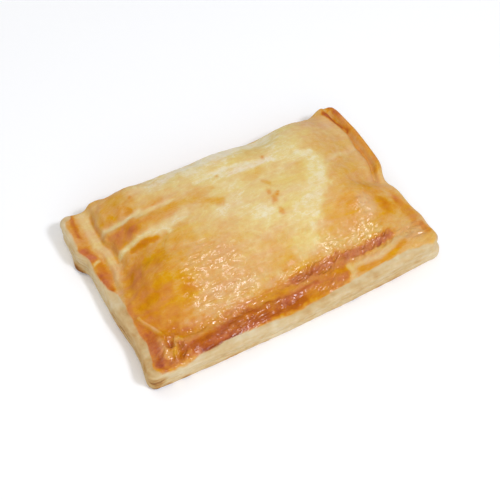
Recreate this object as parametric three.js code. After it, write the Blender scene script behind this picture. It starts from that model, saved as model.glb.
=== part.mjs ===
// A baked, uncut meat pie: a rectangular parcel of puff pastry with a domed, glazed lid.
// Millimetres, +Z up. +X runs along the long side. The near long edge (-Y) and both ends are
// sealed rims, and the far long edge (+Y) is the fold of the pastry. The flat base lies on z = 0,
// and the origin is the centre of the base.

import * as THREE from 'three';
import { mergeVertices } from 'three/addons/utils/BufferGeometryUtils.js';

// Overall sizes of the pie as it is laid out, before baking makes its outline uneven.
const length = 150;
const width = 94.6;
const cornerRadius = 5.5;
const halfLength = length / 2;
const halfWidth = width / 2;

// Height of the sealed edge, and how it swells or sinks along the outline.
const edge = {
  height: 11.6,
  nearRightSwell: 4.8,
  nearLeftSwell: 0.9,
  nearMiddleDip: 1.3,
  farLeftSwell: 3.6,
  leftPress: 1.2,
  rightLipSwell: 2.6,
  rounding: 2,
  roundingReach: 2.2,
};

// Width of the sealed rim between the outline and the foot of the dome.
const rim = {
  nearEnds: 12.5,
  nearMiddle: 15.5,
  nearCrest: 1.3,
  nearCrease: 0.5,
  nearFall: 1.6,
  leftFar: 13.5,
  leftMiddle: 3,
  leftNear: 12,
  rightFar: 5.5,
  rightNear: 1.5,
};

// The filled dome: its rise over the edge, and the reach of each of its slopes.
const dome = {
  rise: 19,
  nearReach: 42,
  leftReach: 33,
  leftFarReach: 24,
  leftStep: 2.2,
  rightReach: 34,
  rightStep: 1.2,
  foldReach: 27,
  foldBase: 6.5,
  steepShare: 0.84,
  longReach: 2,
  footFillet: 3,
  crownFillet: 3,
};

// Swells (+) and dents (-) along the far fold, each as its place on X, its width and its share.
const foldWaves = [
  { x: -58, spread: 5, share: 0.3 },
  { x: -48, spread: 13, share: 0.3 },
  { x: -24, spread: 14, share: 0.06 },
  { x: 0, spread: 12, share: 0.12 },
  { x: 24, spread: 11, share: -0.22 },
  { x: 46, spread: 8, share: 0.04 },
];

// Broad swells (+) and dips (-) of the lid.
const lidWaves = [
  { x: -52, y: -10, spread: 12, height: 0.8 },
  { x: -28, y: 4, spread: 18, height: 0.9 },
  { x: 22, y: 16, spread: 15, height: -0.9 },
  { x: 51, y: -14, spread: 9, height: 0.9 },
];

// Ridges (+) and creases (-) of the lid, as a line from one point to another.
const creases = [
  { from: [-60, 30], to: [-36, 21], spread: 2, height: -0.7 },
  { from: [-61, 14], to: [-40, 7], spread: 2.2, height: -0.8 },
  { from: [-68, -18], to: [-59, -33], spread: 1.9, height: 1 },
  { from: [47, 7], to: [64, 16], spread: 2, height: -0.5 },
];

// The uneven outline: how far each stretch is drawn in from the rectangle it was cut as.
const drawnIn = {
  left: 3,
  leftNear: 1.5,
  right: 2.3,
  rightFarCorner: 2.2,
  rightNotch: 2.8,
  rightNearCorner: 2.3,
  nearEnds: 1.5,
  farMiddle: 1,
};

// The side wall: a tucked-in base, the seam between the two sheets, and the spread foot at the left.
const wall = {
  baseTuck: 1.2,
  baseTuckShare: 0.16,
  seamDepth: 0.4,
  seamCornerDepth: 0.5,
  seamShare: 0.52,
  seamSpread: 0.1,
  footSpread: 1.3,
  footPlace: 26,
};

// Mesh layout: columns around the outline, rows up the wall, over the rim and over the dome.
const longColumns = 51;
const shortColumns = 31;
const cornerColumns = 8;
const cornerSpread = 0.5;
const wallShares = [0, 0.08, 0.2, 0.4, 0.5, 0.6, 0.82];
const rimInsets = [0, 0.5, 1.2, 2.2, 3.8, 5.6, 7.4, 9.2, 10.8, 12.2, 13.6, 15.4];
const domeScales = [0.94, 0.87, 0.79, 0.7, 0.6, 0.49, 0.37, 0.24, 0.11];

function clampShare(value) {
  return Math.min(Math.max(value, 0), 1);
}

// 0 before start, 1 past end, eased between them; start may lie beyond end.
function ease(start, end, value) {
  const t = clampShare((value - start) / (end - start));
  return t * t * (3 - 2 * t);
}

function swell(value, centre, spread) {
  return Math.exp(-(((value - centre) / spread) ** 2));
}

// The smaller of two heights, with the corner between them rounded off.
function softLower(a, b, fillet) {
  return (a + b - Math.hypot(a - b, fillet)) / 2;
}

// A slope from 0 at its foot to 1: a steep part, and a longer one that keeps the crown round.
function domeSlope(distance, reach) {
  const rounded = (distance + Math.hypot(distance, dome.footFillet)) / 2;
  const steep = quarterSine(rounded, reach);
  const long = quarterSine(rounded, reach * dome.longReach);
  return dome.steepShare * steep + (1 - dome.steepShare) * long;
}

function quarterSine(distance, reach) {
  return Math.sin(clampShare(distance / reach) * Math.PI / 2);
}

function quarterArc(distance, reach) {
  return Math.sqrt(1 - (1 - clampShare(distance / reach)) ** 2);
}

// Distance in from the rounded rectangle that the pie is laid out on.
function insetAt(x, y) {
  const overX = Math.abs(x) - (halfLength - cornerRadius);
  const overY = Math.abs(y) - (halfWidth - cornerRadius);
  const outside = Math.hypot(Math.max(overX, 0), Math.max(overY, 0));
  return cornerRadius - outside - Math.min(Math.max(overX, overY), 0);
}

function edgeHeightAt(x, y) {
  const near = ease(-20, -45, y);
  let height = edge.height;
  height += edge.nearRightSwell * ease(15, 72, x) * near;
  height += edge.nearLeftSwell * ease(-30, -70, x) * near;
  height -= edge.nearMiddleDip * swell(x, -2, 9) * ease(-30, -45, y);
  height += edge.farLeftSwell * ease(-62, -75, x) * ease(12, 44, y);
  height -= edge.leftPress * ease(-62, -75, x) * swell(y, 8, 10);
  height += edge.rightLipSwell * ease(60, 75, x) * ease(-6, 4, y);
  return height;
}

function leftRimAt(y) {
  const farPart = (rim.leftFar - rim.leftMiddle) * ease(-12, 10, y);
  const nearPart = (rim.leftNear - rim.leftMiddle) * ease(-15, -32, y);
  return rim.leftMiddle + farPart + nearPart;
}

function nearRimAt(x) {
  return rim.nearEnds + (rim.nearMiddle - rim.nearEnds) * ease(-22, 4, x) * ease(54, 40, x);
}

function rightRimAt(y) {
  return rim.rightNear + (rim.rightFar - rim.rightNear) * ease(-9, -1, y);
}

// The dome over the rims, rounded down to the wall along the far fold.
function domeAt(x, y) {
  const edgeHeight = edgeHeightAt(x, y);
  const fromLeft = x + halfLength - leftRimAt(y);
  const fromRight = halfLength - x - rightRimAt(y);
  const fromNear = y + halfWidth - nearRimAt(x);
  const fromFold = halfWidth - y;
  const leftReach = dome.leftReach + (dome.leftFarReach - dome.leftReach) * ease(0, 16, y);
  const endSlopes = domeSlope(fromLeft, leftReach) * domeSlope(fromRight, dome.rightReach);
  const acrossRise = dome.rise * endSlopes;
  const domed = edgeHeight + acrossRise * domeSlope(fromNear, dome.nearReach);

  const waves = foldWaves.reduce((sum, wave) => sum + wave.share * swell(x, wave.x, wave.spread), 0);
  const foldRise = (edgeHeight + acrossRise - dome.foldBase) * quarterArc(fromFold, dome.foldReach);
  const folded = dome.foldBase + foldRise * (1 + waves * ease(24, 6, fromFold));
  const onDome = ease(0, 12, fromLeft) * ease(0, 12, fromRight);
  const leftStep = dome.leftStep * ease(0, 3, fromLeft) * ease(24, 6, fromLeft) * ease(6, 20, y);
  const rightStep = dome.rightStep * ease(0, 3, fromRight) * ease(20, 5, fromRight) * ease(-2, 8, y);
  return domed - (domed - softLower(domed, folded, dome.crownFillet)) * onDome + leftStep + rightStep;
}

// Puffed crests and pressed grooves of the three sealed rims.
function rimReliefAt(x, y) {
  const fromNear = y + halfWidth;
  const fromLeft = x + halfLength;
  const fromRight = halfLength - x;
  const nearRim = rim.nearCrest * swell(fromNear, nearRimAt(x) - 3.6, 3)
    - rim.nearCrease * swell(fromNear, nearRimAt(x) - 0.3, 1.9) - rim.nearFall * ease(8, 0, fromNear);
  const leftRim = 0.9 * swell(fromLeft, 3.4, 2.4) - 0.8 * swell(fromLeft, 7.2, 1.7)
    + 0.4 * swell(fromLeft, 10, 1.8) - 0.9 * swell(fromLeft, 13, 1.8);
  const rightRim = 1.6 * swell(fromRight, 2.6, 2) - 1.5 * swell(fromRight, 5.4, 1.3);
  return nearRim * ease(-68, -58, x) * ease(72, 60, x)
    + leftRim * ease(-4, 6, y) * ease(46, 34, y) + rightRim * ease(-6, -1, y) * ease(50, 38, y);
}

function lidReliefAt(x, y) {
  const point = new THREE.Vector3(x, y, 0);
  const nearest = new THREE.Vector3();
  let relief = 0;
  for (const wave of lidWaves) {
    relief += wave.height * swell(Math.hypot(x - wave.x, y - wave.y), 0, wave.spread);
  }
  for (const { from, to, spread, height } of creases) {
    const line = new THREE.Line3(new THREE.Vector3(...from, 0), new THREE.Vector3(...to, 0));
    line.closestPointToPoint(point, true, nearest);
    relief += height * swell(point.distanceTo(nearest), 0, spread);
  }
  return relief;
}

function topHeightAt(x, y) {
  const rounding = edge.rounding * (1 - clampShare(insetAt(x, y) / edge.roundingReach)) ** 2;
  return domeAt(x, y) + rimReliefAt(x, y) + lidReliefAt(x, y) - rounding;
}

// Moves a laid-out point to where baking has drawn it.
function bakedPlace(x, y) {
  const left = ease(-40, -75, x);
  const right = ease(40, 75, x);
  const near = ease(-10, -45, y);
  const far = ease(10, 45, y);
  const fromLeft = drawnIn.left * ease(27, 20, y) * ease(-60, -34, y)
    + drawnIn.leftNear * swell(y, -26, 12);
  const fromRight = drawnIn.right * ease(-40, -14, y) + drawnIn.rightFarCorner * ease(24, 47, y)
    + drawnIn.rightNotch * swell(y, -2, 6) + drawnIn.rightNearCorner * ease(-26, -38, y);
  const fromNear = drawnIn.nearEnds * (1 - Math.cos(Math.PI * x / length));
  const fromFar = drawnIn.farMiddle * swell(x, 0, 28);
  return new THREE.Vector2(x + left * fromLeft - right * fromRight, y + near * fromNear - far * fromFar);
}

// How far the wall stands out from the outline at a share of its height.
function wallStandOut(x, y, share) {
  const tuck = wall.baseTuck * (1 - clampShare(share / wall.baseTuckShare)) ** 2;
  const notFold = 1 - ease(30, 44, y) * ease(-62, -52, x) * ease(62, 52, x);
  const nearRight = ease(-26, -38, y) * ease(70, 75, x);
  const seamDepth = wall.seamDepth * notFold + wall.seamCornerDepth * nearRight;
  const seam = seamDepth * swell(share, wall.seamShare, wall.seamSpread);
  const atFoot = swell(y, wall.footPlace, 5) * ease(-70, -75, x) * ease(0.5, 0.1, share);
  const underSeam = ease(wall.seamShare + 0.1, wall.seamShare - 0.1, share);
  const lowerSheet = drawnIn.rightNearCorner * nearRight * underSeam;
  return wall.footSpread * atFoot + lowerSheet - tuck - seam;
}

// Points of the rounded rectangle at an inset, counter-clockwise from the near right corner.
function outline(inset) {
  const radius = cornerRadius + inset * cornerSpread;
  const reachX = halfLength - inset - radius;
  const reachY = halfWidth - inset - radius;
  const corners = [[1, -1], [1, 1], [-1, 1], [-1, -1]];
  const arcs = corners.map(([sideX, sideY], index) => {
    const start = (index - 1) * Math.PI / 2;
    const end = start + Math.PI / 2;
    const arc = new THREE.EllipseCurve(sideX * reachX, sideY * reachY, radius, radius, start, end);
    return arc.getPoints(cornerColumns);
  });
  return arcs.flatMap((arc, index) => {
    const columns = index % 2 === 0 ? shortColumns : longColumns;
    const side = new THREE.LineCurve(arc[cornerColumns], arcs[(index + 1) % 4][0]);
    return [...arc, ...side.getPoints(columns).slice(1, -1)];
  });
}

// One row of the wall, as far up it as the share says.
function wallRow(share) {
  const laidOut = outline(0);
  const baked = laidOut.map(({ x, y }) => bakedPlace(x, y));
  return laidOut.map(({ x, y }, column) => {
    const before = baked.at(column - 1);
    const after = baked[(column + 1) % baked.length];
    const outward = new THREE.Vector2(after.y - before.y, before.x - after.x).normalize();
    const place = baked[column].clone().addScaledVector(outward, wallStandOut(x, y, share));
    return new THREE.Vector3(place.x, place.y, share * topHeightAt(x, y));
  });
}

function topRow(inset, scale) {
  return outline(inset).map((point) => {
    const { x, y } = point.multiplyScalar(scale);
    const place = bakedPlace(x, y);
    return new THREE.Vector3(place.x, place.y, topHeightAt(x, y));
  });
}

// All rows from the middle of the base, up the wall and over the lid to its middle.
function pieRows() {
  const lastInset = rimInsets.at(-1);
  const rows = [
    ...wallShares.map((share) => wallRow(share)),
    ...rimInsets.map((inset) => topRow(inset, 1)),
    ...domeScales.map((scale) => topRow(lastInset, scale)),
  ];
  const baseCentre = rows[0].map(() => new THREE.Vector3(0, 0, 0));
  const lidCentre = rows[0].map(() => new THREE.Vector3(0, 0, topHeightAt(0, 0)));
  return [baseCentre, ...rows, lidCentre];
}

// A lathe turned in as many steps as the outline has columns; its rows are moved onto the pie.
function pieGeometry() {
  const rows = pieRows();
  const columns = rows[0].length;
  const profile = rows.map((row, index) => {
    const turn = Math.PI * index / (rows.length - 1);
    return new THREE.Vector2(Math.sin(turn), index);
  });
  const lathe = new THREE.LatheGeometry(profile, columns);
  const position = lathe.getAttribute('position');
  for (let step = 0; step <= columns; step += 1) {
    rows.forEach((row, index) => {
      const { x, y, z } = row[step % columns];
      position.setXYZ(step * rows.length + index, x, y, z);
    });
  }
  lathe.deleteAttribute('normal');
  lathe.deleteAttribute('uv');
  const geometry = mergeVertices(lathe, 1e-3);
  geometry.computeBoundingBox();
  const centre = geometry.boundingBox.getCenter(new THREE.Vector3());
  geometry.translate(-centre.x, -centre.y, 0);
  geometry.computeVertexNormals();
  return geometry;
}

const glazedCrust = new THREE.MeshStandardMaterial({ color: '#d6a254', roughness: 0.42, metalness: 0 });

const pastry = new THREE.Mesh(pieGeometry(), glazedCrust);
pastry.name = 'pastry';

const meatPie = new THREE.Group();
meatPie.name = 'meat_pie';
meatPie.add(pastry);

export default meatPie;
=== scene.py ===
import math

import bmesh
import bpy
import numpy as np
from mathutils import Matrix, Vector, noise


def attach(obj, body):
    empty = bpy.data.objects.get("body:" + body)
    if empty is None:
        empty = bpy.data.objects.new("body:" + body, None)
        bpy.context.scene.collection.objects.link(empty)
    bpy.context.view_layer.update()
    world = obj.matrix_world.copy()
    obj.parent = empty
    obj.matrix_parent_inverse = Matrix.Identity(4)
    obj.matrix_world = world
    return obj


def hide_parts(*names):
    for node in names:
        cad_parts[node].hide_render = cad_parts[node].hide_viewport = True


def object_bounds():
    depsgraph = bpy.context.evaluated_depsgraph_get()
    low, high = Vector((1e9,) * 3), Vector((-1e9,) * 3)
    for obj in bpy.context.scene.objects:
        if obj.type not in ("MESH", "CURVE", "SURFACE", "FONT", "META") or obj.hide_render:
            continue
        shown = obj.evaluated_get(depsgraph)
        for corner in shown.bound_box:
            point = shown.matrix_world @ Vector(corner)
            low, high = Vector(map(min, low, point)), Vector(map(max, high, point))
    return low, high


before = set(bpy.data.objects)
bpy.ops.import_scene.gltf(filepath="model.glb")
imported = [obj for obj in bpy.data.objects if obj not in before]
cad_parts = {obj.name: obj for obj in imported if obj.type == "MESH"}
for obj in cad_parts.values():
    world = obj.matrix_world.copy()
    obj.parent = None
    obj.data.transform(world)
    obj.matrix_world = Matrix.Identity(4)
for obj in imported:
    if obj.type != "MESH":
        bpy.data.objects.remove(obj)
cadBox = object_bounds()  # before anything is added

# A baked puff-pastry meat pie. Sizes are in millimetres until the mesh is written in metres.
mm = 0.001

# The pie's plain form, the same as the solid's. Lengths are in mm on the laid-out pie, before its
# outline is drawn in, with (0, 0) at its middle. A span runs from where a form starts to where it
# is full, spans are the one it comes in over and the one it goes out over, and a place is a centre
# and a spread.
pie = {
    "length": 150,
    "width": 94.6,
    "cornerRadius": 5.5,
    "rounding": 2,
    "roundingReach": 2.2,
    "edgeHeight": 11.6,
    "nearSpan": (-20, -45),
    "nearRightSwell": 4.8,
    "nearRightSpan": (15, 72),
    "nearLeftSwell": 0.9,
    "nearLeftSpan": (-30, -70),
    "nearMiddleDip": 1.3,
    "nearDipPlace": (-2, 9),
    "nearDipSpan": (-30, -45),
    "leftEndSpan": (-62, -75),
    "farLeftSwell": 3.6,
    "farLeftSpan": (12, 44),
    "leftPress": 1.2,
    "leftPressPlace": (8, 10),
    "rightEndSpan": (60, 75),
    "rightLipSwell": 2.6,
    "rightLipSpan": (-6, 4),
    "nearRimEnds": 12.5,
    "nearRimMiddle": 15.5,
    "nearRimSpans": ((-22, 4), (54, 40)),
    "leftFarRim": 13.5,
    "leftFarRimSpan": (-12, 10),
    "leftMiddleRim": 3,
    "leftNearRim": 12,
    "leftNearRimSpan": (-15, -32),
    "rightFarRim": 5.5,
    "rightNearRim": 1.5,
    "rightRimSpan": (-9, -1),
    "nearCrest": 1.2,
    "nearCrestPlace": (3.6, 3),  # out from the foot of the dome
    "crestFade": 0.65,
    "crestFadeSpan": (-4, 10),
    "nearCrease": 0.2,
    "nearCreasePlace": (0.3, 1.9),  # out from the foot of the dome
    "nearFall": 1.6,
    "nearFallSpan": (8, 0),
    "nearReliefSpans": ((-68, -58), (72, 60)),
    "leftRimWaves": [  # distance from the edge, spread, height
        (3.4, 2.4, 0.9), (7.2, 1.7, -0.8), (10, 1.8, 0.4), (13, 1.8, -0.9),
    ],
    "leftReliefSpans": ((-4, 6), (46, 34)),
    "rightRimWaves": [(2.6, 2, 1.6), (5.4, 1.3, -1.5)],
    "rightReliefSpans": ((-6, -1), (50, 38)),
    "domeRise": 19,
    "domeEndSpan": (0, 12),
    "nearReach": 42,
    "leftReach": 33,
    "leftFarReach": 24,
    "leftReachSpan": (0, 16),
    "leftStep": 2.2,
    "leftStepSpans": ((0, 3), (24, 6)),
    "leftStepFarSpan": (6, 20),
    "rightReach": 34,
    "rightStep": 1.2,
    "rightStepSpans": ((0, 3), (20, 5)),
    "rightStepFarSpan": (-2, 8),
    "foldReach": 27,
    "foldBase": 6.5,
    "foldWaves": [  # x, spread, share of the fold's rise
        (-58, 5, 0.3), (-48, 13, 0.3), (-24, 14, 0.06), (0, 12, 0.12), (24, 11, -0.22),
        (46, 8, 0.04),
    ],
    "foldWaveSpan": (24, 6),
    "steepShare": 0.84,
    "longReach": 2,
    "footFillet": 3,
    "crownFillet": 3,
    "lidWaves": [  # x, y, spread, height
        (-52, -10, 12, 0.8), (-28, 4, 18, 0.9), (22, 16, 15, -0.9), (51, -14, 9, 0.9),
    ],
    "creases": [  # from, to, spread, height
        ((-60, 30), (-36, 21), 2, -0.7),
        ((-61, 14), (-40, 7), 2.2, -0.8),
        ((-68, -18), (-59, -33), 1.9, 1),
        ((47, 7), (64, 16), 2, -0.5),
    ],
    "drawnIn": {  # how far the outline is drawn in while baking
        "endSpan": (40, 75),
        "sideSpan": (10, 45),
        "left": 3,
        "leftSpans": ((-60, -34), (27, 20)),
        "leftNear": 1.5,
        "leftNearPlace": (-26, 12),
        "right": 2.3,
        "rightSpan": (-40, -14),
        "rightFarCorner": 2.2,
        "rightFarSpan": (24, 47),
        "rightNotch": 2.8,
        "rightNotchPlace": (-2, 6),
        "rightNearCorner": 2.3,
        "rightNearSpan": (-26, -38),
        "nearEnds": 1.5,
        "farMiddle": 1,
        "farMiddlePlace": (0, 28),
    },
    "wall": {  # shares are of the wall's height
        "baseTuck": 1.2,
        "baseTuckShare": 0.16,
        "endSpan": (70, 75),
        "foldSideSpan": (30, 44),
        "foldEndSpans": ((-62, -52), (62, 52)),
        "seamDepth": 0.4,
        "seamCornerDepth": 0.5,
        "seamShare": 0.52,
        "seamSpread": 0.1,
        "footSpread": 1.3,
        "footPlace": (26, 5),
        "footShares": (0.5, 0.1),
    },
    "net": {  # how finely the pie is drawn
        "cell": 0.5,
        "wallRows": 28,
        "baseShares": (0.985, 0.95, 0.85, 0.65, 0.35),
        "lidMark": 2,  # stands for the lid, where a wall has its share
    },
}
halfLength = pie["length"] / 2
halfWidth = pie["width"] / 2


def clampShare(value):
    return np.clip(value, 0, 1)


def ease(start, end, value):
    t = clampShare((value - start) / (end - start))
    return t * t * (3 - 2 * t)


def between(value, comingIn, goingOut):
    return ease(*comingIn, value) * ease(*goingOut, value)


def swell(value, centre, spread):
    return np.exp(-(((value - centre) / spread) ** 2))


def wavesAt(value, waves):
    return sum(height * swell(value, centre, spread) for centre, spread, height in waves)


def softLower(a, b, fillet):
    return (a + b - np.hypot(a - b, fillet)) / 2


def quarterSine(distance, reach):
    return np.sin(clampShare(distance / reach) * math.pi / 2)


def quarterArc(distance, reach):
    return np.sqrt(1 - (1 - clampShare(distance / reach)) ** 2)


def domeSlope(distance, reach):
    rounded = (distance + np.hypot(distance, pie["footFillet"])) / 2
    steep = quarterSine(rounded, reach)
    long = quarterSine(rounded, reach * pie["longReach"])
    return pie["steepShare"] * steep + (1 - pie["steepShare"]) * long


def distanceToLine(x, y, start, end):
    dx = end[0] - start[0]
    dy = end[1] - start[1]
    t = clampShare(((x - start[0]) * dx + (y - start[1]) * dy) / (dx * dx + dy * dy))
    return np.hypot(x - start[0] - t * dx, y - start[1] - t * dy)


def insetAt(x, y):
    # how far in from the laid-out outline
    overX = np.abs(x) - (halfLength - pie["cornerRadius"])
    overY = np.abs(y) - (halfWidth - pie["cornerRadius"])
    outside = np.hypot(np.maximum(overX, 0), np.maximum(overY, 0))
    return pie["cornerRadius"] - outside - np.minimum(np.maximum(overX, overY), 0)


def edgeHeightAt(x, y):
    near = ease(*pie["nearSpan"], y)
    leftEnd = ease(*pie["leftEndSpan"], x)
    nearDip = swell(x, *pie["nearDipPlace"]) * ease(*pie["nearDipSpan"], y)
    rightLip = ease(*pie["rightEndSpan"], x) * ease(*pie["rightLipSpan"], y)
    height = pie["edgeHeight"] + pie["nearRightSwell"] * ease(*pie["nearRightSpan"], x) * near
    height += pie["nearLeftSwell"] * ease(*pie["nearLeftSpan"], x) * near
    height -= pie["nearMiddleDip"] * nearDip
    height += pie["farLeftSwell"] * leftEnd * ease(*pie["farLeftSpan"], y)
    height -= pie["leftPress"] * leftEnd * swell(y, *pie["leftPressPlace"])
    return height + pie["rightLipSwell"] * rightLip


def leftRimAt(y):
    middle = pie["leftMiddleRim"]
    farPart = (pie["leftFarRim"] - middle) * ease(*pie["leftFarRimSpan"], y)
    nearPart = (pie["leftNearRim"] - middle) * ease(*pie["leftNearRimSpan"], y)
    return middle + farPart + nearPart


def nearRimAt(x):
    widening = pie["nearRimMiddle"] - pie["nearRimEnds"]
    return pie["nearRimEnds"] + widening * between(x, *pie["nearRimSpans"])


def rightRimAt(y):
    widening = pie["rightFarRim"] - pie["rightNearRim"]
    return pie["rightNearRim"] + widening * ease(*pie["rightRimSpan"], y)


def domeAt(x, y):
    edgeHeight = edgeHeightAt(x, y)
    fromLeft = x + halfLength - leftRimAt(y)
    fromRight = halfLength - x - rightRimAt(y)
    fromNear = y + halfWidth - nearRimAt(x)
    fromFold = halfWidth - y
    reachChange = pie["leftFarReach"] - pie["leftReach"]
    leftReach = pie["leftReach"] + reachChange * ease(*pie["leftReachSpan"], y)
    acrossRise = pie["domeRise"] * domeSlope(fromLeft, leftReach)
    acrossRise *= domeSlope(fromRight, pie["rightReach"])
    domed = edgeHeight + acrossRise * domeSlope(fromNear, pie["nearReach"])
    waves = wavesAt(x, pie["foldWaves"]) * ease(*pie["foldWaveSpan"], fromFold)
    foldRise = edgeHeight + acrossRise - pie["foldBase"]
    foldRise *= quarterArc(fromFold, pie["foldReach"])
    folded = pie["foldBase"] + foldRise * (1 + waves)
    onDome = ease(*pie["domeEndSpan"], fromLeft) * ease(*pie["domeEndSpan"], fromRight)
    leftStep = pie["leftStep"] * between(fromLeft, *pie["leftStepSpans"])
    leftStep *= ease(*pie["leftStepFarSpan"], y)
    rightStep = pie["rightStep"] * between(fromRight, *pie["rightStepSpans"])
    rightStep *= ease(*pie["rightStepFarSpan"], y)
    crowned = domed - (domed - softLower(domed, folded, pie["crownFillet"])) * onDome
    return crowned + leftStep + rightStep


def rimReliefAt(x, y):
    fromNear = y + halfWidth
    domeFoot = nearRimAt(x)
    crestOut, crestSpread = pie["nearCrestPlace"]
    creaseOut, creaseSpread = pie["nearCreasePlace"]
    crest = pie["nearCrest"] * (1 - pie["crestFade"] * ease(*pie["crestFadeSpan"], x))
    nearRim = crest * swell(fromNear, domeFoot - crestOut, crestSpread)
    nearRim -= pie["nearCrease"] * swell(fromNear, domeFoot - creaseOut, creaseSpread)
    nearRim -= pie["nearFall"] * ease(*pie["nearFallSpan"], fromNear)
    leftRim = wavesAt(x + halfLength, pie["leftRimWaves"])
    rightRim = wavesAt(halfLength - x, pie["rightRimWaves"])
    height = nearRim * between(x, *pie["nearReliefSpans"])
    height += leftRim * between(y, *pie["leftReliefSpans"])
    return height + rightRim * between(y, *pie["rightReliefSpans"])


def lidReliefAt(x, y):
    total = np.zeros_like(x)
    for centreX, centreY, spread, height in pie["lidWaves"]:
        total += height * swell(np.hypot(x - centreX, y - centreY), 0, spread)
    for start, end, spread, height in pie["creases"]:
        total += height * swell(distanceToLine(x, y, start, end), 0, spread)
    return total


def topHeightAt(x, y):
    rounding = pie["rounding"] * (1 - clampShare(insetAt(x, y) / pie["roundingReach"])) ** 2
    return domeAt(x, y) + rimReliefAt(x, y) + lidReliefAt(x, y) - rounding


def bakedPlace(x, y):
    # moves a laid-out place to where it is once the outline is drawn in
    drawn = pie["drawnIn"]
    fromLeft = drawn["left"] * between(y, *drawn["leftSpans"])
    fromLeft += drawn["leftNear"] * swell(y, *drawn["leftNearPlace"])
    fromRight = drawn["right"] * ease(*drawn["rightSpan"], y)
    fromRight += drawn["rightFarCorner"] * ease(*drawn["rightFarSpan"], y)
    fromRight += drawn["rightNotch"] * swell(y, *drawn["rightNotchPlace"])
    fromRight += drawn["rightNearCorner"] * ease(*drawn["rightNearSpan"], y)
    fromNear = drawn["nearEnds"] * (1 - np.cos(math.pi * x / pie["length"]))
    fromFar = drawn["farMiddle"] * swell(x, *drawn["farMiddlePlace"])
    left, right = ease(*drawn["endSpan"], -x), ease(*drawn["endSpan"], x)
    near, far = ease(*drawn["sideSpan"], -y), ease(*drawn["sideSpan"], y)
    return x + left * fromLeft - right * fromRight, y + near * fromNear - far * fromFar


def wallStandOut(x, y, share):
    # how far the wall stands out from its top edge
    wall = pie["wall"]
    drawn = pie["drawnIn"]
    tuck = wall["baseTuck"] * (1 - clampShare(share / wall["baseTuckShare"])) ** 2
    notFold = 1 - ease(*wall["foldSideSpan"], y) * between(x, *wall["foldEndSpans"])
    nearRight = ease(*drawn["rightNearSpan"], y) * ease(*wall["endSpan"], x)
    seamDepth = wall["seamDepth"] * notFold + wall["seamCornerDepth"] * nearRight
    seam = seamDepth * swell(share, wall["seamShare"], wall["seamSpread"])
    foot = wall["footSpread"] * swell(y, *wall["footPlace"])
    foot *= ease(*wall["endSpan"], -x) * ease(*wall["footShares"], share)
    aboveSeam = wall["seamShare"] + wall["seamSpread"]
    belowSeam = wall["seamShare"] - wall["seamSpread"]
    lowerSheet = drawn["rightNearCorner"] * nearRight * ease(aboveSeam, belowSeam, share)
    return foot + lowerSheet - tuck - seam


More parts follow.
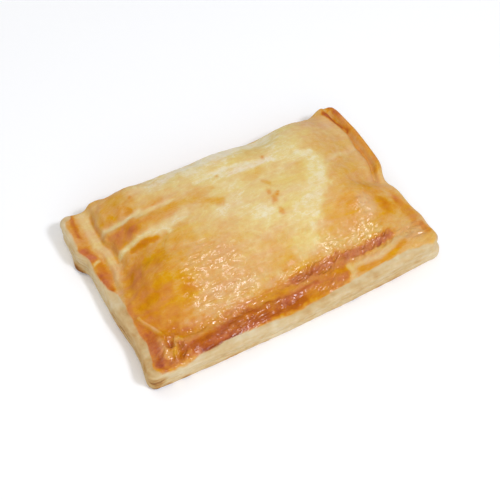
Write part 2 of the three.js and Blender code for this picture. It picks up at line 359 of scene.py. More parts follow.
# How the crust is baked, in mm on the laid-out pie, with a few marks of painted highlight and
# painted shade among the browning. Levels run from 0 (pale) to 1 (dark), and rosiness from 0
# (yellow brown) to 1 (red brown). Areas, strokes and flecks are painted in order.
crust = {
    "base": (0.34, 0.2),
    "areas": [  # x, y, reach on x, reach on y, level, rosiness
        (-2, 41, 44, 11, 0.02, 0.3),  # pale far side
        (-2, 20, 26, 13, 0.2, 0.2),  # straw-coloured middle
        (12, 2, 26, 14, 0.24, 0.15),
        (-12, 6, 8, 3.5, 0.14, 0.2),
        (-3, 12, 3.5, 8, 0.15, 0.5),
        (6, -2, 8, 4, 0.12, 0.1),
        (-12, -1, 6, 3, 0.32, 0.6),
        (11, 19, 5, 3, 0.34, 0),
        (-16, 19, 5, 4, 0.38, 0.4),
        (18, 30, 7, 3.5, 0.32, 0),
        (7, 29, 4, 2, 0.26, 0),
        (30, 25, 8, 10, 0.16, 0.1),
        (33, 12, 6, 5, 0.3, 0),
        (-25, 32, 4, 3, 0.24, 0),
        (-33, 35, 8, 4, 0.14, 0.8),
        (-37, 42, 10, 5, 0.18, 0.9),
        (5, -21, 9, 7, 0.42, 0.1),
        (8, -26, 4, 3, 0.5, 0),
        (-7, -20, 4, 3, 0.38, 0.1),
        (-25, -16, 14, 14, 0.43, 0.6),
        (-30, -29, 22, 2.5, 0.37, 0.6),
        (-32, 4, 7, 5, 0.44, 0),
        (-22, 5, 5, 4, 0.3, 0.2),
        (-70.5, 34, 4.5, 13, 0.5, 0.55),  # left strip
        (-70, 10, 3.5, 8, 0.57, 0.6),
        (-52, 38, 9, 8, 0.46, 0.25),  # far left lobe
        (-52, 31, 8, 3, 0.52, 0.2),
        (-47, 27, 1.8, 1.8, 0.62, 0),
        (-35, 25, 4.5, 1.8, 0.46, 0.1),
        (-34, 18.3, 11, 3.6, 0.5, 0.3),
        (-53, 20, 7.5, 4.8, 0.7, 0.5),  # brown patch
        (-49, 18.7, 2.8, 2, 0.8, 0.7),
        (-57, 22, 2.5, 2.5, 0.7, 0.7),
        (-52, -6, 15, 18, 0.53, 0.1),  # amber left face
        (-62, 0, 4, 11, 0.5, 0.5),
        (-58.5, 0, 4, 7, 0.68, 0.4),
        (-60, -9, 4.5, 6, 0.67, 0.4),
        (-53, -15, 7, 3, 0.68, 0.1),
        (-46, 0.5, 4, 4, 0.58, 0),
        (-40, -18, 2.8, 5, 0.66, 0),
        (-62, -22, 6, 6, 0.66, 0.1),
        (-52, -22, 8, 6, 0.6, 0.1),
        (-56, -29, 6, 2.2, 0.72, 0.1),
        (-69.5, -11, 3.4, 16, 0.7, 0.7),  # left edge
        (-67, -32, 4.5, 7, 0.86, 0.3),  # near left corner
        (-60, -40, 9, 5, 0.72, 0.3),
        (-66, -42, 3.5, 3.5, 0.92, 0.3),
        (43, -3, 10, 12, 0.36, 0.1),  # right face
        (54, 3, 12, 11, 0.43, 0.3),
        (54, 21, 10, 8, 0.4, 0.3),
        (56, 38, 11, 8, 0.36, 0.8),
        (66, -3, 3.5, 5, 0.42, 0.9),
        (40, -17, 12, 9, 0.46, 0.2),
        (44, -13, 7, 5, 0.52, 0.2),
        (58, -9, 5, 5, 0.55, 0.1),
        (61, -18, 4, 5, 0.7, 0),
        (55, -23, 6, 3, 0.52, 0),
        # paler and pinkish: a painted highlight on the glaze's wrinkles, where the glossy film
        # also really shines
        (51, -16, 4, 5, 0.38, 0.8),
        (60, -31, 6, 4, 0.42, 0.5),
        (70, -24, 2.5, 12, 0.6, 0.4),
        (69.5, -16, 2, 2.5, 0.68, 0.2),
        (70, -37, 2.5, 4, 0.66, 0.5),
        (66, -39, 4, 3, 0.46, 0.9),
    ],
    "strokes": [  # points, half width, level, rosiness, depth in mm (minus: stands proud)
        ([(-48, -39), (-8, -38), (28, -38)], 6, 0.7, 0.35, 0),  # near rim
        ([(2, -33.4), (22, -32.6), (54, -32.3)], 3, 0.58, 0.6, 0),
        ([(36, -40), (70, -39)], 5, 0.42, 0.3, 0),
        ([(-60, 47.6), (66, 47.6)], 3.4, 0.46, 0.2, 0),  # far foot
        ([(40, 12), (35, 2), (28, -5), (20, -14), (17, -19)], 4.6, 0.16, 0.1, 0),  # pale diagonal
        ([(24, -6), (20, -13)], 5.6, 0.18, 0.2, 0),
        ([(18, -16), (15.5, -24)], 4, 0.27, 0.1, 0),
        ([(34, 20), (40, 17)], 2.2, 0.15, 0.1, 0),
        ([(2, 23), (22, 23)], 1.6, 0.14, 0.8, 0.2),
        ([(-15, 26), (2, 27), (14, 25)], 1.2, 0.13, 0.2, 0.3),
        ([(-14, 20.5), (-9, 20)], 1, 0.34, 0, 0.1),
        ([(-19, 17), (-13, 13.5), (-9, 11)], 2.1, 0.42, 0, 0),
        ([(13, 13), (15, 10.5)], 1, 0.38, 0.1, 0.15),
        ([(10, -27.5), (21, -27)], 1.3, 0.44, 0, 0.1),
        ([(44, 10), (52, 14), (66, 16)], 1.1, 0.3, 0.4, 0.3),
        ([(-59.5, 28.5), (-55, 27), (-50, 24.7), (-43, 24.5)], 1.1, 0.2, 0.4, 0.5),  # far crack
        ([(-45, 23), (-35, 22.6), (-27, 22)], 0.9, 0.28, 0.3, 0.35),
        ([(-60, 15), (-52, 14), (-43, 12.3)], 1.1, 0.18, 0.2, 0.5),  # middle crack
        ([(-42, 11.8), (-36, 11.4), (-26, 12.4)], 2, 0.22, 0.6, 0.25),
        ([(-37, 11), (-35.5, 8.5)], 1, 0.18, 0.4, 0.2),
        ([(-54, 12), (-48, 11), (-42, 8.8)], 1.1, 0.68, 0.1, 0),
        ([(-66, 5), (-69, -4), (-72, -13)], 2.2, 0.44, 0.6, 0),
        ([(-64, 44), (-64, 12)], 2.2, 0.25, 0.55, 0),  # pale groove
        ([(-64, 12), (-65.5, 7)], 1.7, 0.32, 0.55, 0),
        # darker: painted shade in the shallow groove under the dome's step onto the left strip
        ([(-61.2, 41), (-61.4, 14)], 0.6, 0.48, 0.4, 0.5),
        ([(-69, 46), (-69.7, 40), (-70, 33)], 1.1, 0.72, 0.4, 0.2),  # left strip
        ([(-71.5, 25), (-72, 20)], 2.3, 0.74, 0.7, 0),
        ([(-70.5, 15), (-70.3, 9)], 2.2, 0.68, 0.4, 0),
        ([(-72.3, 12), (-71.5, 7), (-70.8, 2.5)], 1.3, 0.8, 0.4, 0.2),
        ([(-72.5, 17), (-69.5, 18.5)], 0.6, 0.3, 0.3, 0.25),
        # raised folds at the near left corner
        ([(-67.2, -18), (-66.4, -21), (-63.5, -26), (-60.5, -30)], 0.9, 0.46, 0.4, -0.8),
        ([(-62.8, -31), (-62.4, -35), (-62.6, -40)], 1.5, 0.52, 0.7, -0.9),
        ([(-56, -32.5), (-57.4, -37), (-59.5, -40)], 1.3, 0.5, 0.4, -0.9),
        ([(-54.5, -33), (-52.6, -38), (-51, -42)], 1.3, 0.52, 0.4, -0.9),
        ([(-59.3, -33), (-59.8, -37)], 1.4, 0.72, 0.2, 0.2),
        ([(-54.8, -37), (-55.4, -41)], 1.3, 0.76, 0.2, 0.6),
        ([(-61, -30.5), (-53, -31.5), (-46, -33.3)], 1.7, 0.72, 0.2, 0.3),  # foot of the dome
        ([(-46, -33.3), (-38, -34.8), (-30, -35.6)], 1.5, 0.66, 0.2, 0.4),
        ([(-32, -32.6), (-18, -32.5), (-5, -31)], 0.6, 0.58, 0.8, 0.3),
        ([(-33, -36), (-14, -35)], 1.4, 0.58, 0.4, 0),
        # paler and pinkish: a painted highlight along the rim's upper slope, over the glossy film
        # there
        ([(-50, -37), (-36, -36)], 2.2, 0.56, 0.7, -0.2),
        ([(-52, -41), (-38, -40), (-20, -37)], 2.6, 0.86, 0.2, 0),
        ([(-12, -34), (3, -33.5)], 2.2, 0.6, 0.2, 0),
        ([(-64, -44.3), (-52, -42.6)], 1.6, 0.74, 0.4, 0),
        ([(-43, -42), (-30, -41.7), (-18, -41), (4, -41)], 2.1, 0.88, 0.05, 0),
        ([(-16, -40), (-2, -40.4)], 2.5, 0.88, 0.05, 0),
        ([(-46, -43.3), (-40, -44), (-33, -43.2), (-28, -43.4)], 0.7, 1, 0.05, 0),
        ([(-44, -41), (-39, -40.6)], 1, 0.84, 0.2, -0.9),  # taut folds along the near rim
        ([(-38, -42), (-33.5, -41.8)], 0.9, 0.84, 0.1, -1),
        ([(-34.5, -40.6), (-29, -40.3)], 0.9, 0.84, 0.1, -1),
        ([(-30.5, -39.3), (-24.5, -38.8)], 0.9, 0.84, 0.1, -1.1),
        ([(-26, -37.8), (-20.5, -37.5)], 0.9, 0.8, 0.1, -0.9),
        ([(-17.5, -38.8), (-14, -38.5)], 0.9, 0.82, 0.1, -0.9),
        ([(-15, -37.2), (-11, -36.8)], 0.9, 0.82, 0.1, -0.9),
        ([(-11, -38), (-5.5, -37)], 1, 0.82, 0.1, -0.9),
        ([(-3, -38.2), (4, -38), (13, -37)], 1.2, 0.82, 0.1, -0.9),
        ([(5, -31.5), (14, -31.5), (24, -31.5)], 2.4, 0.78, 0.5, 0),
        ([(28, -31), (36, -32.5), (46, -32.5), (54, -32)], 2.3, 0.74, 0.6, 0),
        ([(3, -30), (12, -29.2), (24, -29.4)], 0.7, 0.7, 0.3, 0),
        ([(19, -35), (27, -34.5)], 2.2, 0.7, 0.3, 0),
        ([(48, -33.5), (53, -33)], 1.4, 0.8, 0.7, 0),
        ([(10, -41), (18, -40), (25, -38.5)], 3.1, 0.68, 0.1, 0),
        ([(24, -39.5), (26, -40)], 1.8, 0.76, 0.4, 0),
        ([(33, -38.2), (44, -39.6), (52, -38.4), (58, -36)], 1.5, 0.3, 0.6, 0),
        ([(33, -40.4), (38, -41.6), (44, -42.6), (51, -41.8), (58, -40)], 1.4, 0.56, 0.05, 0),
        ([(29.8, -36.5), (30.6, -40), (28, -43.5)], 1.6, 0.32, 0.2, 0.5),
        ([(72.3, 44), (72.3, 34)], 2.4, 0.76, 0.4, 0),  # right lip
        ([(72.3, 34), (72.3, 3)], 2, 0.56, 0.35, 0),
        ([(70.4, 43), (70.8, 5)], 0.7, 0.42, 0.2, 0),
        ([(66, 42), (68, 37), (69.6, 29)], 1.5, 0.86, 0.4, 0),
        ([(69, 31), (69.4, 14), (69, 3)], 0.9, 0.54, 0.4, 0.1),
        ([(71.6, -34), (71.8, -39.5)], 1.3, 0.64, 0.2, 0),
    ],
    "flecks": [  # x, y, radius
        (13.4, 2, 1.7), (15.6, 3.6, 1.1), (16.6, 4.8, 0.8), (12.6, 6, 0.9), (13.5, -4.5, 1.5),
        (-43.5, 33.5, 0.8), (19, 25, 0.7), (-4.5, 25, 0.6),
    ],
    "fleckLook": (0.58, 0.5),
    "fleckShare": 0.8,
    "raggedAreas": 0.2,
    "raggedStrokes": 0.3,
    "raggedFlecks": 0.4,
    "strokeEdge": 5,
    "strokeWarp": 0.4,
    "glossy": [  # x, y, reach on x, reach on y, strength: where the egg wash has set in wrinkles
        (-31, -9, 10, 9, 0.54),
        (-22, -12, 7, 7, 0.54),
        (-31, -24, 12, 5, 0.68),
        (-19, -25, 8, 3.5, 0.74),
        (-30, -34.5, 23, 3.2, 0.95),
        (-27, -40.5, 13, 2.8, 1),
        (-5, -38, 13, 1.8, 1),
        (15, -32, 13, 4, 1.4),
        (40, -32, 17, 3.6, 1.4),
        (51, -15, 4.5, 6, 0.85),
        (46, -25, 8, 3, 1),
        (28, -26, 6, 3, 1),
        (-59, -38, 9, 7, 1.3),
        (66, -37, 6, 5, 1),
        (18, -40, 9, 3, 0.7),
    ],
    "cutSide": {  # where the glaze ends: distance in over the lid, or below 0 down the wall
        "near": [  # x, distance
            (-71, 4.4), (-67.5, 0.8), (-64, 0.6), (-54, 1.4), (-46, 2.9), (-33, 3.9), (-12, 3.3),
            (2, 2.5), (9, 2.8), (22, 4), (37, 4.7), (58, 4.5), (63, 2.6), (70, 1),
        ],
        "left": [  # y, distance
            (-40, 4.6), (-24, 4.4), (-16, 5.2), (-10, 6.4), (-3, 7), (3, 3), (9, 1.8), (20, 0.9),
            (28, 2.2), (40, 1.8), (45, 3),
        ],
        "right": -3.5,
        "far": -8.5,
        "nearSpan": (-38, -44),
        "endSpan": (64, 70),
        "wander": 0.7,
        "border": (-0.3, 0.3),
        "undersideSpan": (0.97, 0.99),
    },
    "toasted": {  # the browner parts of the cut dough, and painted shade on the near half of the left wall; shares are of the wall's height
        "foot": (0.3, 0.5),  # plain and uneven amount
        "footShares": (0.16, 0.02),
        "leftSeam": 0.5,
        "leftSeamLevel": 0.5,
        "leftSeamSpread": 0.05,
        "leftSeamSpan": (-70, -74),
        "places": [  # x, y, reach, share, amount
            (-75, 25, 3.5, 0.05, 0.75), (-67, -47, 3.5, 0.05, 0.6), (-57, -47, 3, 0.05, 0.5),
            (-30, -47, 6, 0.05, 0.25), (38, -47, 14, 0.03, 0.3), (-70, -47, 5, 0.7, 0.3),
            (24, -47, 6, 0.9, 0.1), (36, -47, 8, 0.85, 0.08),
        ],
        "placeSpread": 0.28,
        # painted shade: darker cut dough on the near half of the left wall, which is turned away
        # from the lights
        "leftWallShade": 0.17,
        "leftWallShadeSpans": ((-64, -72), (2, -10)),  # on x, on y
        "base": 0.42,
        "baseSpan": (0.99, 0.96),
    },
}


def plateau(r, power=4):
    return 1 / (1 + r**power)


def reachShare(x, y, centreX, centreY, reachX, reachY):
    # distance from the centre as a share of the reach
    return np.hypot((x - centreX) / reachX, (y - centreY) / reachY)


def distanceToStroke(x, y, points):
    return np.min([distanceToLine(x, y, a, b) for a, b in zip(points, points[1:])], axis=0)


def paintedPatches(x, y, warpX, warpY, ragged):
    # each patch's share of the colour, with its level and rosiness
    for centreX, centreY, reachX, reachY, *look in crust["areas"]:
        r = reachShare(x + warpX, y + warpY, centreX, centreY, reachX, reachY)
        yield plateau(r * (1 + crust["raggedAreas"] * ragged)), look
    strokeX, strokeY = x + warpX * crust["strokeWarp"], y + warpY * crust["strokeWarp"]
    for points, halfSpan, *look in crust["strokes"]:
        r = distanceToStroke(strokeX, strokeY, points) / halfSpan
        yield plateau(r * (1 + crust["raggedStrokes"] * ragged), crust["strokeEdge"]), look
    for centreX, centreY, radius in crust["flecks"]:
        r = np.hypot(strokeX - centreX, strokeY - centreY) / radius
        share = crust["fleckShare"] * plateau(r * (1 + crust["raggedFlecks"] * ragged))
        yield share, crust["fleckLook"]


def browningAndPaintedLightAt(x, y, warpX, warpY, ragged):
    level, rosy = (np.full_like(x, value) for value in crust["base"])
    for share, look in paintedPatches(x, y, warpX, warpY, ragged):
        level += (look[0] - level) * share
        rosy += (look[1] - rosy) * share
    return level, rosy


def wrinkledAt(x, y):
    wrinkled = np.zeros_like(x)
    for *place, strength in crust["glossy"]:
        share = clampShare(strength * plateau(reachShare(x, y, *place)))
        wrinkled = np.maximum(wrinkled, share)
    return wrinkled


def glazeEdgeAt(x, y):
    cutSide = crust["cutSide"]
    nearSide = ease(*cutSide["nearSpan"], y)
    leftSide, rightSide = ease(*cutSide["endSpan"], -x), ease(*cutSide["endSpan"], x)
    left = np.interp(y, *zip(*cutSide["left"]))
    near = np.interp(x, *zip(*cutSide["near"]))
    edge = cutSide["far"] + (left - cutSide["far"]) * leftSide
    edge += (cutSide["right"] - edge) * rightSide
    return edge + (near - edge) * nearSide


def toastAndShadeAt(x, y, share, scale, broad, middling):
    toasted = crust["toasted"]
    plain, uneven = toasted["foot"]
    amount = ease(*toasted["footShares"], share) * (plain + uneven * broad)
    seam = swell(share, pie["wall"]["seamShare"], toasted["leftSeamSpread"])
    seam *= ease(*toasted["leftSeamSpan"], x) * (toasted["leftSeamLevel"] + middling)
    amount += toasted["leftSeam"] * seam
    for centreX, centreY, reach, centreShare, strength in toasted["places"]:
        r = np.hypot(x - centreX, y - centreY) / reach
        onWall = swell(share, centreShare, toasted["placeSpread"])
        amount += strength * plateau(r) * onWall * (1 + middling)
    # painted shade on the near half of the left wall
    alongX, alongY = toasted["leftWallShadeSpans"]
    amount += toasted["leftWallShade"] * ease(*alongX, x) * ease(*alongY, y)
    amount += (toasted["base"] - amount) * ease(*toasted["baseSpan"], scale)
    return clampShare(amount)


relief = {  # the fine relief, in mm: heights by what makes it, then sizes and places
    "broad": 0.32,
    "middling": 0.18,
    "fine": 0.04,
    "blisters": 0.6,
    "ridges": 0.85,
    "combed": 1.6,
    "gathered": 2.6,
    "wallLayers": 0.16,
    "wallFine": 0.1,
    "wallLumps": 0.22,
    "noises": {  # size on x, y and z, seed
        "broad": ((11, 11, 11), 1),
        "middling": ((4, 4, 4), 2),
        "fine": ((1.7, 1.7, 1.7), 3),
        "layers": ((9, 9, 0.8), 5),
        "layersFine": ((2.6, 2.6, 0.5), 6),
        "broadAcross": ((11, 11, 11), 8),
        "middlingAcross": ((4, 4, 4), 9),
    },
    "folds": {  # size along, across and up, seed
        "blisters": ((2.6, 1.5, 2), 4),
        "ridges": ((5.5, 1.8, 2.4), 7),
        "combed": ((5, 1.6, 3), 10),
        "gathered": ((8, 2.4, 3), 12),
    },
    "seedStep": 17.3,
    "swirl": 1.5,
    "warpBroad": 1.2,
    "warpMiddling": 0.9,
    "warpSpan": (3, 9),
    "foldLevel": 0.4,
    "foldSteepness": 2,
    "blisterLevel": 0.2,
    "combedTurn": 27,  # degrees
    "combedSpans": ((2, 8), (60, 52)),
    "combedNearSpan": (-26, -29),
    "gatheredTurn": 48,
    "gatheredPlace": (-59, -38, 9, 6),  # x, y, reach on x, reach on y
    "smoothShare": 0.1,  # of the folds, where the glaze is smooth
    "tautReach": 1.5,
    "tautSmoothing": 0.8,
    "strokeShare": 0.75,
    "strokeUnevenness": 0.5,
    "edgeShare": 0.3,
    "edgeSpan": (0, 1.5),
    "layersLevel": 0.5,
    "lumpsLevel": 1,
    "wallSpans": ((0, 0.06), (1, 0.9)),  # shares of the wall's height
}


def noiseAt(points, size, seed):
    # smooth noise from -1 to 1, with features of about the given sizes in mm
    stretched = points / np.array(size) + seed * relief["seedStep"]
    return np.array([noise.noise(Vector(p)) for p in stretched])


def foldNoiseAt(points, size, seed):
    # sharp-crested folds, as much above 0 as below it
    return relief["foldLevel"] - relief["foldSteepness"] * np.abs(noiseAt(points, size, seed))


def turned(points, degrees):
    # the places in axes turned over the lid
    angle = math.radians(degrees)
    x, y, z = points.T
    along = x * math.cos(angle) + y * math.sin(angle)
    across = y * math.cos(angle) - x * math.sin(angle)
    return np.stack([along, across, z], axis=1)


def foldsAt(x, y, points, noises, onCorner):
    # wrinkles and blisters of the glaze, combed along the near rim and gathered at the corner
    folds = relief["folds"]
    drift = noises["middling"][:, None]
    swirl = np.stack([noises["middling"], noises["broad"], noises["fine"]], axis=1)
    swirled = points + relief["swirl"] * swirl
    blisters = np.abs(noiseAt(swirled, *folds["blisters"]))
    ridges = foldNoiseAt(swirled, *folds["ridges"])
    combed = foldNoiseAt(turned(points, relief["combedTurn"]) + drift, *folds["combed"])
    gathered = foldNoiseAt(turned(points, relief["gatheredTurn"]) + drift, *folds["gathered"])
    onNearBand = ease(*relief["combedNearSpan"], y) * between(x, *relief["combedSpans"])
    ridges += (relief["combed"] * combed - ridges) * onNearBand
    ridges += (relief["gathered"] * gathered - ridges) * onCorner
    return relief["blisters"] * (blisters - relief["blisterLevel"]) + relief["ridges"] * ridges


def lidFineAt(x, y, points, noises, warpX, warpY, wrinkled):
    middling = noises["middling"]
    lidFine = sum(relief[name] * noises[name] for name in ("broad", "middling", "fine"))
    onCorner = plateau(reachShare(x, y, *relief["gatheredPlace"]))
    taut = np.zeros_like(x)
    strokeX, strokeY = x + warpX * crust["strokeWarp"], y + warpY * crust["strokeWarp"]
    uneven = relief["strokeShare"] + relief["strokeUnevenness"] * middling
    for strokePoints, halfSpan, _, _, depth in crust["strokes"]:
        nearest = distanceToStroke(strokeX, strokeY, strokePoints)
        lidFine -= depth * swell(nearest, 0, halfSpan) * uneven
        taut += max(-depth, 0) * swell(nearest, 0, relief["tautReach"] * halfSpan)
    taut = clampShare(taut) * (1 - onCorner)
    foldShare = relief["smoothShare"] + (1 - relief["smoothShare"]) * wrinkled
    foldShare *= 1 - relief["tautSmoothing"] * taut
    lidFine += foldsAt(x, y, points, noises, onCorner) * foldShare
    onEdge = ease(*relief["edgeSpan"], insetAt(x, y))
    return lidFine * (onEdge * (1 - relief["edgeShare"]) + relief["edgeShare"])


def wallFineAt(share, noises):
    # puffed layers and small lumps where the dough was cut
    layered = noises["layers"] * (relief["layersLevel"] + noises["broad"])
    wallFine = relief["wallLayers"] * layered + relief["wallFine"] * noises["layersFine"]
    wallFine += relief["wallLumps"] * (noises["middling"] - relief["lumpsLevel"])
    return wallFine * between(share, *relief["wallSpans"])


def cornerOrder(part):
    # one number for an edge or a face, from the order of its corners
    corners = sorted(v.index for v in part.verts)
    room = 2**17  # more than the net has vertices
    return (corners[0] * room + corners[1]) * room + corners[-1]


def blankPie():
    # a grid over the lid, its border extruded down the wall and in under the base
    net = pie["net"]
    bm = bmesh.new()
    columns = round(pie["length"] / net["cell"])
    rows = round(pie["width"] / net["cell"])
    place = Matrix.Diagonal((pie["length"], pie["width"], 1, 1))
    bmesh.ops.create_grid(bm, x_segments=columns, y_segments=rows, size=0.5, matrix=place)
    shareLayer = bm.verts.layers.float.new("share")
    baseLayer = bm.verts.layers.float.new("baseScale")
    for v in bm.verts:
        v[shareLayer] = net["lidMark"]
        v[baseLayer] = 1
    ring = [e for e in bm.edges if e.is_boundary]
    steps = [(1 - (k + 1) / net["wallRows"], 1) for k in range(net["wallRows"])]
    steps += [(0, scale) for scale in net["baseShares"]]
    for share, scale in steps:
        made = bmesh.ops.extrude_edge_only(bm, edges=ring)["geom"]
        fresh = {g for g in made if isinstance(g, bmesh.types.BMVert)}
        edges = [g for g in made if isinstance(g, bmesh.types.BMEdge)]
        ring = [e for e in edges if all(v in fresh for v in e.verts)]
        for v in fresh:
            v[shareLayer] = share
            v[baseLayer] = scale
    last = bmesh.ops.extrude_edge_only(bm, edges=ring)["geom"]
    middle = [g for g in last if isinstance(g, bmesh.types.BMVert)]
    bmesh.ops.pointmerge(bm, verts=middle, merge_co=(0, 0, 0))
    bmesh.ops.recalc_face_normals(bm, faces=bm.faces)
    bm.verts.index_update()
    bm.edges.sort(key=cornerOrder)  # extruding leaves them in another order on each run
    bm.faces.sort(key=cornerOrder)
    return bm


def roundedCorners(x, y):
    # squeezes the square corners of the grid into round ones
    radius = pie["cornerRadius"]
    a = (np.abs(x) - (halfLength - radius)) / radius
    b = (np.abs(y) - (halfWidth - radius)) / radius
    inCorner = (a > 0) & (b > 0)
    a = np.where(inCorner, a, 0)
    b = np.where(inCorner, b, 0)
    roundX = np.sign(x) * (halfLength - radius + radius * a * np.sqrt(1 - b * b / 2))
    roundY = np.sign(y) * (halfWidth - radius + radius * b * np.sqrt(1 - a * a / 2))
    return np.where(inCorner, roundX, x), np.where(inCorner, roundY, y)


def unit(x, y):
    norm = np.maximum(np.hypot(x, y), 1e-9)  # never nought
    return x / norm, y / norm


def outwardAt(x, y, step=0.4):
    # unit vector out of the baked outline at a laid-out point of it
    radius = pie["cornerRadius"]
    nx = np.maximum(np.abs(x) - (halfLength - radius), 0) * np.sign(x)
    ny = np.maximum(np.abs(y) - (halfWidth - radius), 0) * np.sign(y)
    nx, ny = unit(nx, ny)
    aheadX, aheadY = bakedPlace(x - ny * step, y + nx * step)
    backX, backY = bakedPlace(x + ny * step, y - nx * step)
    return unit(aheadY - backY, backX - aheadX)


def readLayer(me, name):
    values = np.empty(len(me.vertices))
    me.attributes[name].data.foreach_get("value", values)
    me.attributes.remove(me.attributes[name])
    return values


def writeAttribute(me, name, values):
    attribute = me.attributes.new(name, "FLOAT", "POINT")
    attribute.data.foreach_set("value", values.astype(np.float32))


def fittedToSolid(places):
    # the fine relief must not pass the solid's box
    low, high = (np.array(corner) / mm for corner in cadBox)
    low[2] = 0
    ownLow, ownHigh = places.min(axis=0), places.max(axis=0)
    fit = np.minimum((high - low) / (ownHigh - ownLow), 1)
    print("fit to the solid's box:", [round(float(f), 4) for f in fit])
    fitted = (places - (ownLow + ownHigh) / 2) * fit + (low + high) / 2
    fitted[:, 2] -= fitted[:, 2].min()
    return fitted


def shapePie(bm):
    me = bpy.data.meshes.new("meatPie")
    bm.to_mesh(me)
    bm.free()
    flat = np.empty(len(me.vertices) * 3)
    me.vertices.foreach_get("co", flat)
    share = readLayer(me, "share")
    scale = readLayer(me, "baseScale")
    x, y = roundedCorners(flat[0::3], flat[1::3])
    onLid = share == pie["net"]["lidMark"]
    share = np.where(onLid, 1, share)
    centre = np.argmin(np.where(onLid, np.inf, np.hypot(x, y)))  # of the base

    inset = insetAt(x, y)
    points = np.stack([x, y, topHeightAt(x, y) * share], axis=1)
    noises = {name: noiseAt(points, *look) for name, look in relief["noises"].items()}
    broad, middling = noises["broad"], noises["middling"]
    warpX = relief["warpBroad"] * broad + relief["warpMiddling"] * middling
    warpY = relief["warpBroad"] * noises["broadAcross"]
    warpY += relief["warpMiddling"] * noises["middlingAcross"]
    inward = ease(*relief["warpSpan"], inset)
    top = topHeightAt(x + warpX * inward, y + warpY * inward)
    wrinkled = wrinkledAt(x, y)
    lidFine = lidFineAt(x, y, points, noises, warpX, warpY, wrinkled)

    placeX, placeY = bakedPlace(x, y)
    outX, outY = outwardAt(x, y)
    standOut = np.where(onLid, 0, wallStandOut(x, y, share) + wallFineAt(share, noises))
    finalX = (placeX + outX * standOut) * scale
    finalY = (placeY + outY * standOut) * scale
    final = np.stack([finalX, finalY, (top + lidFine) * share], axis=1)
    final[centre] = 0
    me.vertices.foreach_set("co", (fittedToSolid(final) * mm).ravel())

    level, rosy = browningAndPaintedLightAt(x, y, warpX, warpY, noises["fine"] + middling)
    cutSide = crust["cutSide"]
    fromEdge = inset - (1 - share) * top
    ragged = cutSide["wander"] * (middling + broad)
    glazed = ease(*cutSide["border"], fromEdge - glazeEdgeAt(x, y) + ragged)
    glazed *= ease(*cutSide["undersideSpan"], scale)
    writeAttribute(me, "browned", level)
    writeAttribute(me, "rosy", rosy)
    writeAttribute(me, "toasted", toastAndShadeAt(x, y, share, scale, broad, middling))
    writeAttribute(me, "glazed", glazed)
    writeAttribute(me, "wrinkled", wrinkled)
    me.shade_smooth()
    obj = bpy.data.objects.new("meatPie", me)
    bpy.context.collection.objects.link(obj)
    return obj


def linear(hexColour, alpha=1):
    values = [int(hexColour[i : i + 2], 16) / 255 for i in (1, 3, 5)]
    return [v / 12.92 if v <= 0.04045 else ((v + 0.055) / 1.055) ** 2.4 for v in values] + [alpha]


def addNode(tree, kind, settings=None, links=None):
    # settings are the node's own properties or input values, links go from a socket to an input
    node = tree.nodes.new(kind)
    for key, value in (settings or {}).items():
        if isinstance(key, str) and hasattr(node, key):
            setattr(node, key, value)
        else:
            node.inputs[key].default_value = value
    for key, socket in (links or {}).items():
        tree.links.new(socket, node.inputs[key])
    return node


glazedPastry = {
    "lid": [  # by browning, which holds a few marks of painted highlight and painted shade
        (0.0, "#E6DCC4"),
        (0.1, "#E3D5AE"),
        (0.2, "#DDC482"),
        (0.36, "#D7AB60"),
        (0.54, "#D29012"),
        (0.7, "#C67602"),
        (0.85, "#B05600"),
        (1.0, "#8C3500"),
    ],
    "cut": [  # by how far the cut dough is browned by baking, with the painted shade on the left wall counted in
        (0.0, "#D6C5A2"), (0.3, "#CAAE7E"), (0.55, "#B88D54"), (0.8, "#8E5C2E"), (1.0, "#5E381A"),
    ],
    "noises": [  # name, size in mm, stretch, detail, distortion
        ("mottle", 3.4, "even", 3, 0),
        ("streak", 1.5, "along", 3, 0.6),
        ("grain", 0.6, "even", 2, 0),
        ("veins", 5, "along", 3, 1.5),
        ("hues", 4.5, "along", 3, 0.5),
        ("wrinkle", 2.6, "along", 1, 1.2),
        ("patches", 16, "even", 2, 0),
        ("layers", 8, "layered", 5, 0),
    ],
    "spreads": [  # name, what it follows, value at the least and the most of that
        ("hue", "rosy", 0.502, 0.487),
        ("saturation", "rosy", 1, 0.88),
        ("lidRoughness", "wrinkled", 0.6, 0.36),
        ("creasing", "wrinkled", 0.2, 1),
        ("film", "wrinkled", 0.03, 0.68),
    ],
    "variation": [  # what is varied, by which noise, least and most that is added
        ("browned", "mottle", -0.06, 0.06),
        ("browned", "streak", -0.03, 0.03),
        ("browned", "grain", -0.025, 0.025),
        ("toasted", "layers", 0, 0.34),
        ("toasted", "mottle", -0.1, 0.12),
        ("toasted", "patches", -0.14, 0.16),
        ("hue", "hues", -0.009, 0.009),
        ("saturation", "hues", -0.06, 0.06),
        ("height", "grain", 0, 0.06),
    ],
    "stretches": {"even": (1, 1, 1), "along": (0.3, 1, 1), "layered": (1, 1, 6)},
    "noiseSpan": {"From Min": 0.25, "From Max": 0.75},  # nearly all of a noise's values
    "veins": {"From Max": 0.035, "To Min": 0.05, "To Max": 0},  # half width, paleness
    "bump": {"Strength": 0.8, "Distance": 0.5 * mm},
    "cutRoughness": 0.75,
    "body": {
        "IOR": 1.45,
        "Specular IOR Level": 0.1,
        "Subsurface Weight": 0.15,
        "Subsurface Radius": (1.0, 0.55, 0.25),
        "Subsurface Scale": 1.6 * mm,
        "Coat Roughness": 0.18,
        "Coat IOR": 1.6,
    },
}


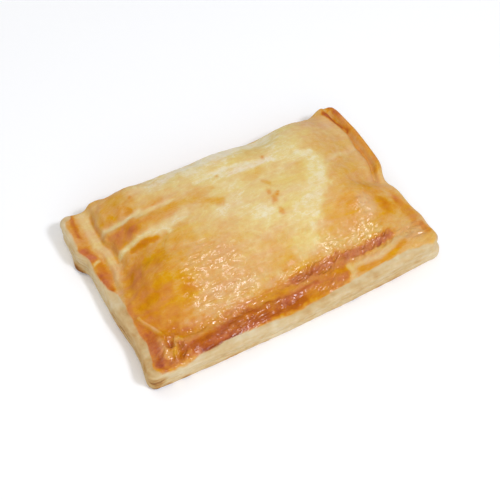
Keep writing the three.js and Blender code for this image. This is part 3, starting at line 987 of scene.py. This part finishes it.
def puffPastry():
    # puff pastry baked with an egg wash: a thin glossy film over a browned, slightly blistered
    # skin, and dry matt layers where the dough was cut
    material = bpy.data.materials.new("eggWashedPuffPastry")
    material.use_nodes = True
    tree = material.node_tree
    tree.nodes.clear()
    place = addNode(tree, "ShaderNodeTexCoord").outputs["Object"]
    vectors = {}
    for name, stretch in glazedPastry["stretches"].items():
        mapping = addNode(tree, "ShaderNodeMapping", {"Scale": stretch}, {"Vector": place})
        vectors[name] = mapping.outputs["Vector"]

    fields = {}
    for name in ("browned", "rosy", "glazed", "wrinkled", "toasted"):
        attribute = addNode(tree, "ShaderNodeAttribute", {"attribute_name": name})
        fields[name] = attribute.outputs["Fac"]
    for name, size, stretch, detail, distortion in glazedPastry["noises"]:
        settings = {"Scale": 1 / (size * mm), "Detail": detail, "Distortion": distortion}
        pattern = addNode(tree, "ShaderNodeTexNoise", settings, {"Vector": vectors[stretch]})
        fields[name] = pattern.outputs["Fac"]
    for name, source, least, most in glazedPastry["spreads"]:
        settings = {"To Min": least, "To Max": most}
        spread = addNode(tree, "ShaderNodeMapRange", settings, {"Value": fields[source]})
        fields[name] = spread.outputs["Result"]
    for name in ("veins", "wrinkle"):  # thin lines, where the noise passes its middle
        settings = {"operation": "SUBTRACT", 1: 0.5}
        middle = addNode(tree, "ShaderNodeMath", settings, {0: fields[name]}).outputs[0]
        line = addNode(tree, "ShaderNodeMath", {"operation": "ABSOLUTE"}, {0: middle})
        fields[name] = line.outputs[0]
    factors = {0: fields["wrinkle"], 1: fields["creasing"]}
    height = addNode(tree, "ShaderNodeMath", {"operation": "MULTIPLY"}, factors)
    fields["height"] = height.outputs[0]
    for name, noiseName, least, most in glazedPastry["variation"]:
        settings = {**glazedPastry["noiseSpan"], "To Min": least, "To Max": most}
        spread = addNode(tree, "ShaderNodeMapRange", settings, {"Value": fields[noiseName]})
        terms = {0: fields[name], 1: spread.outputs["Result"]}
        fields[name] = addNode(tree, "ShaderNodeMath", {"operation": "ADD"}, terms).outputs[0]
    veins = {"Value": fields["veins"]}
    paler = addNode(tree, "ShaderNodeMapRange", glazedPastry["veins"], veins).outputs["Result"]
    settings = {"operation": "SUBTRACT", "use_clamp": True}
    terms = {0: fields["browned"], 1: paler}
    level = addNode(tree, "ShaderNodeMath", settings, terms).outputs[0]

    colours = []
    for name, factor in (("lid", level), ("cut", fields["toasted"])):
        ramp = addNode(tree, "ShaderNodeValToRGB", links={"Fac": factor})
        elements = ramp.color_ramp.elements
        while len(elements) < len(glazedPastry[name]):
            elements.new(0.5)
        for element, (position, colour) in zip(elements, glazedPastry[name]):
            element.position = position
            element.color = linear(colour)
        colours.append(ramp.outputs["Color"])
    lidColour = addNode(
        tree, "ShaderNodeHueSaturation",
        links={"Hue": fields["hue"], "Saturation": fields["saturation"], "Color": colours[0]},
    ).outputs["Color"]
    colour = addNode(
        tree, "ShaderNodeMix", {"data_type": "RGBA"},
        {"Factor": fields["glazed"], 6: colours[1], 7: lidColour},
    ).outputs[2]
    roughness = addNode(
        tree, "ShaderNodeMix", {"data_type": "FLOAT", 2: glazedPastry["cutRoughness"]},
        {"Factor": fields["glazed"], 3: fields["lidRoughness"]},
    ).outputs[0]
    bump = addNode(tree, "ShaderNodeBump", glazedPastry["bump"], {"Height": fields["height"]})
    creased = bump.outputs["Normal"]
    factors = {0: fields["film"], 1: fields["glazed"]}
    film = addNode(tree, "ShaderNodeMath", {"operation": "MULTIPLY"}, factors).outputs[0]
    shader = addNode(
        tree, "ShaderNodeBsdfPrincipled", glazedPastry["body"],
        {
            "Base Color": colour,
            "Roughness": roughness,
            "Normal": creased,
            "Coat Normal": creased,
            "Coat Weight": film,
        },
    )
    addNode(tree, "ShaderNodeOutputMaterial", links={"Surface": shader.outputs["BSDF"]})
    return material


studio = {
    "elevation": 56.73,
    "azimuth": -28.14,
    "distance": 506.9,
    "target": (0.05, -1.05),
    "focal": 1100,
    "frameWidth": 500,
    "sensor": 36,
    "nearClip": 10,
    "floorHalf": 4000,
    "floorColour": "#FFFFFF",
    "floorRoughness": 0.9,
    "floorSpecular": 0.1,
    "worldColour": "#FFFFFF",
    "worldStrength": 0.5,
    "lights": [  # name, colour, azimuth, elevation, distance and size in metres, power
        ("keyLight", "#F1F5FF", 26, 57, 0.9, 0.165, 3.4),
        ("fillLight", "#FFFFFF", -20, 40, 1.2, 1.2, 3.7),
        ("farLight", "#FFFFFF", 200, 40, 1.2, 1.2, 2.8),
    ],
}


def lookFrom(azimuth, elevation, distance, target=(0, 0, 0)):
    a, e = math.radians(azimuth), math.radians(elevation)
    back = Vector((math.sin(a) * math.cos(e), -math.cos(a) * math.cos(e), math.sin(e)))
    right = Vector((math.cos(a), math.sin(a), 0))
    up = back.cross(right)
    turn = Matrix((right, up, back)).transposed()
    return Matrix.Translation(Vector(target) + back * distance) @ turn.to_4x4(), right, up


def addCamera():
    _, right, up = lookFrom(studio["azimuth"], studio["elevation"], 1)
    target = (right * studio["target"][0] + up * studio["target"][1]) * mm
    place, _, _ = lookFrom(studio["azimuth"], studio["elevation"], studio["distance"] * mm, target)
    data = bpy.data.cameras.new("camera")
    data.sensor_width = studio["sensor"]
    data.lens = studio["focal"] / studio["frameWidth"] * studio["sensor"]
    data.clip_start = studio["nearClip"] * mm
    camera = bpy.data.objects.new("camera", data)
    camera.matrix_world = place
    bpy.context.collection.objects.link(camera)
    bpy.context.scene.camera = camera


def addLight(name, colour, azimuth, elevation, distance, size, power):
    data = bpy.data.lights.new(name, "AREA")
    data.color = linear(colour)[:3]
    data.shape = "DISK"
    data.size = size
    data.energy = power
    light = bpy.data.objects.new(name, data)
    light.matrix_world = lookFrom(azimuth, elevation, distance)[0]
    bpy.context.collection.objects.link(light)


def addFloor():
    floorMesh = bpy.data.meshes.new("floor")
    bm = bmesh.new()
    bmesh.ops.create_grid(bm, x_segments=1, y_segments=1, size=studio["floorHalf"] * mm)
    bm.to_mesh(floorMesh)
    bm.free()
    floor = bpy.data.objects.new("floor", floorMesh)
    bpy.context.collection.objects.link(floor)
    paper = bpy.data.materials.new("matPaper")  # plain mat paper, with hardly any shine
    paper.use_nodes = True
    shader = paper.node_tree.nodes["Principled BSDF"]
    shader.inputs["Base Color"].default_value = linear(studio["floorColour"])
    shader.inputs["Roughness"].default_value = studio["floorRoughness"]
    shader.inputs["Specular IOR Level"].default_value = studio["floorSpecular"]
    floorMesh.materials.append(paper)


def addStudio():
    addFloor()
    world = bpy.data.worlds.new("studio")
    world.use_nodes = True
    background = world.node_tree.nodes["Background"]
    background.inputs["Color"].default_value = linear(studio["worldColour"])
    background.inputs["Strength"].default_value = studio["worldStrength"]
    bpy.context.scene.world = world
    for light in studio["lights"]:
        addLight(*light)
    addCamera()
    bpy.context.scene.view_settings.view_transform = "Standard"


pastry = shapePie(blankPie())
print("pie shaped:", len(pastry.data.vertices), "vertices")
pastry.data.materials.append(puffPastry())
print("pastry material made")
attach(pastry, "root")
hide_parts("pastry")
addStudio()
print("studio set")
